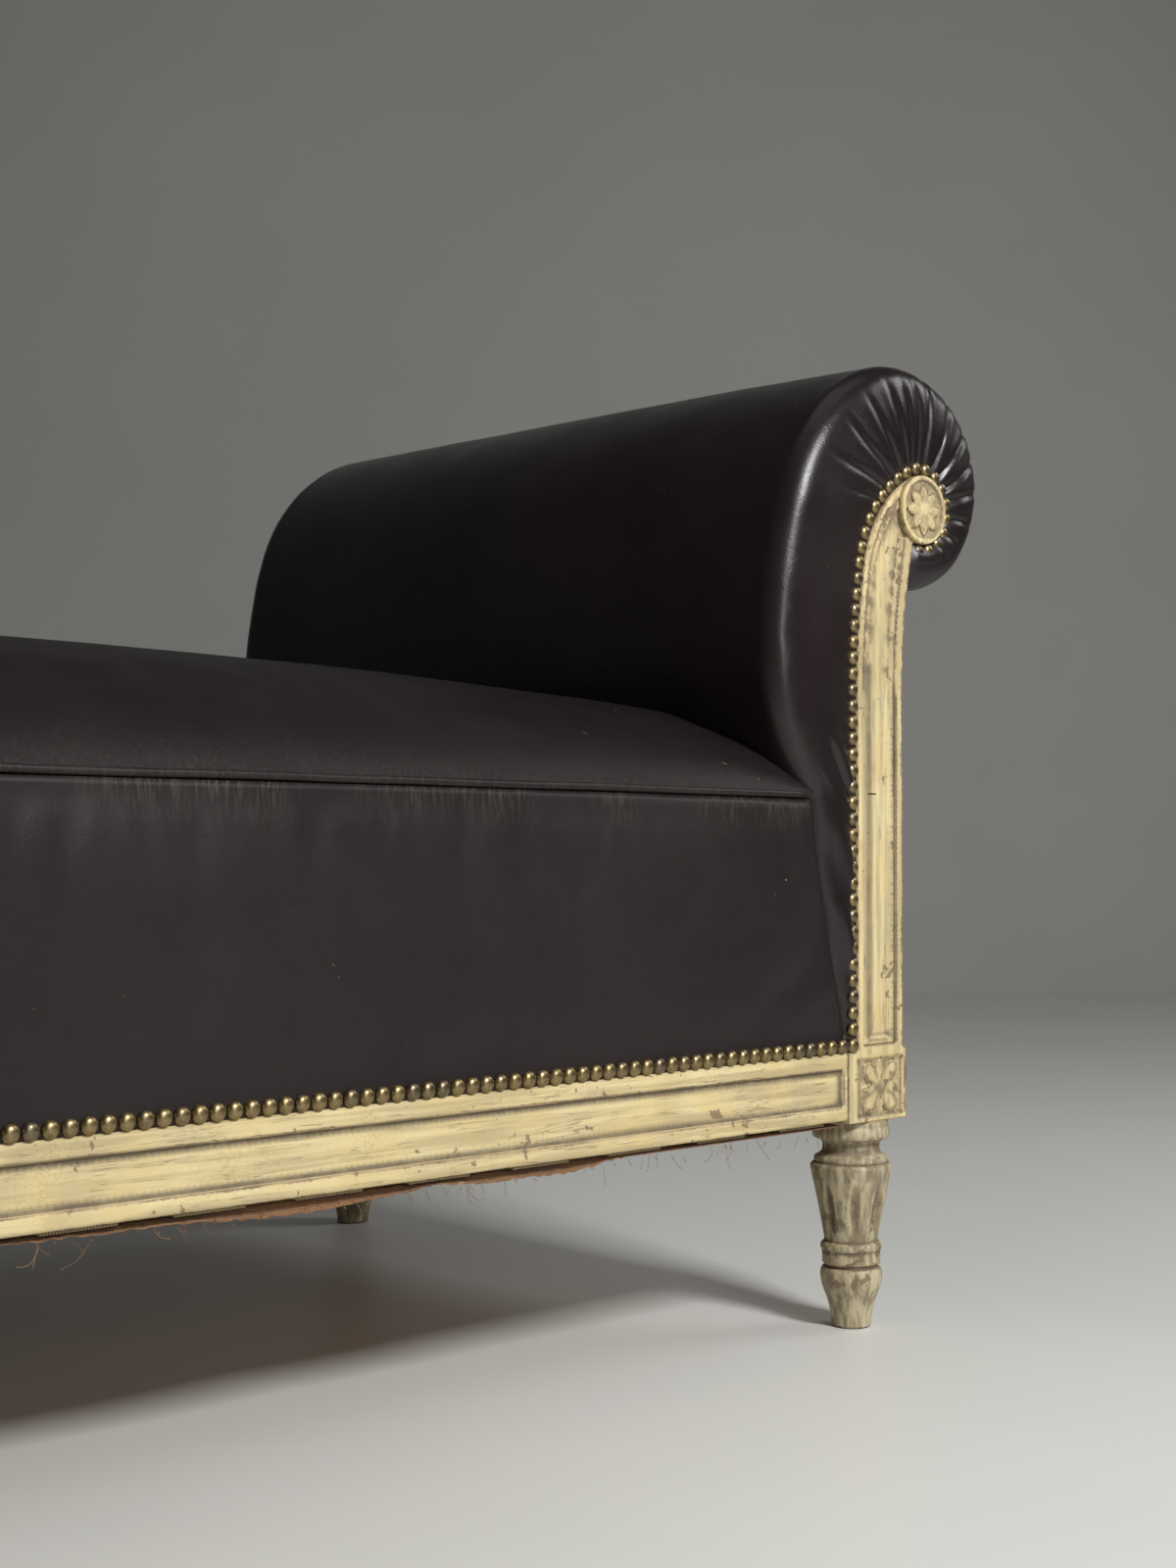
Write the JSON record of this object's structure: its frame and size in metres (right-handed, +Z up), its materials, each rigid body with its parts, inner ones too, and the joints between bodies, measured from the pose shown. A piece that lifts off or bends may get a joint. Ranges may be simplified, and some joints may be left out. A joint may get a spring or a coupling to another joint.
{
  "type": "chaise longue",
  "caption": "Antique chaise longue with one scrolled head end, dark brown leather over a deep box seat, worn cream painted carved frame, turned fluted legs and brass nail trim.",
  "frame": {"origin": "on the floor under the middle of the bounding box", "axes": "+X runs along the seat from the open foot end to the scrolled head end, +Y from the front to the back, +Z up; the front, with one carved stile and rail, faces -Y"},
  "size_m": [1.7283, 0.6982, 0.747],
  "materials": {
    "painted_wood": "worn cream paint over wood, cracked and grimy in the grooves",
    "bare_wood": "plain sawn wood",
    "leather": "very dark brown leather, worn to a soft shine",
    "aged_brass": "aged, partly dulled",
    "hessian": "coarse brown sackcloth",
    "webbing": "woven jute strips",
    "horsehair": "stitched curled hair",
    "wadding": "soft cotton",
    "spring_steel": "dull coiled wire"
  },
  "bodies": {
    "root": {"bottom_hessian": "hessian", "corner_brace_back_foot": "bare_wood", "corner_brace_back_head": "bare_wood", "corner_brace_front_foot": "bare_wood", "corner_brace_front_head": "bare_wood", "cross_brace_foot": "bare_wood", "cross_brace_head": "bare_wood", "head_foot_rail": "bare_wood", "head_hessian": "hessian", "head_inside_cover": "leather", "head_outside_cover": "leather", "head_stuffing": "horsehair", "head_tacking_rail": "bare_wood", "head_top_bar": "bare_wood", "head_webbing": "webbing", "leg_back_foot": "painted_wood", "leg_back_head": "painted_wood", "leg_front_foot": "painted_wood", "leg_front_head": "painted_wood", "nails_outside_back": "aged_brass", "nails_outside_front": "aged_brass", "nails_post_back": "aged_brass", "nails_post_front": "aged_brass", "nails_rail_back": "aged_brass", "nails_rail_foot": "aged_brass", "nails_rail_front": "aged_brass", "nails_rail_head": "aged_brass", "patera_back": "painted_wood", "patera_front": "painted_wood", "post_back_foot": "painted_wood", "post_back_head": "painted_wood", "post_front_foot": "painted_wood", "post_front_head": "painted_wood", "rail_back": "painted_wood", "rail_foot": "painted_wood", "rail_front": "painted_wood", "rail_head": "painted_wood", "seat_border_back": "leather", "seat_border_foot": "leather", "seat_border_front": "leather", "seat_piping": "leather", "seat_springs": "spring_steel", "seat_stuffing": "horsehair", "seat_top_cover": "leather", "seat_wadding": "wadding", "seat_webbing_cross": "webbing", "seat_webbing_long": "webbing", "spring_hessian": "hessian"}
  },
  "joints": []
}
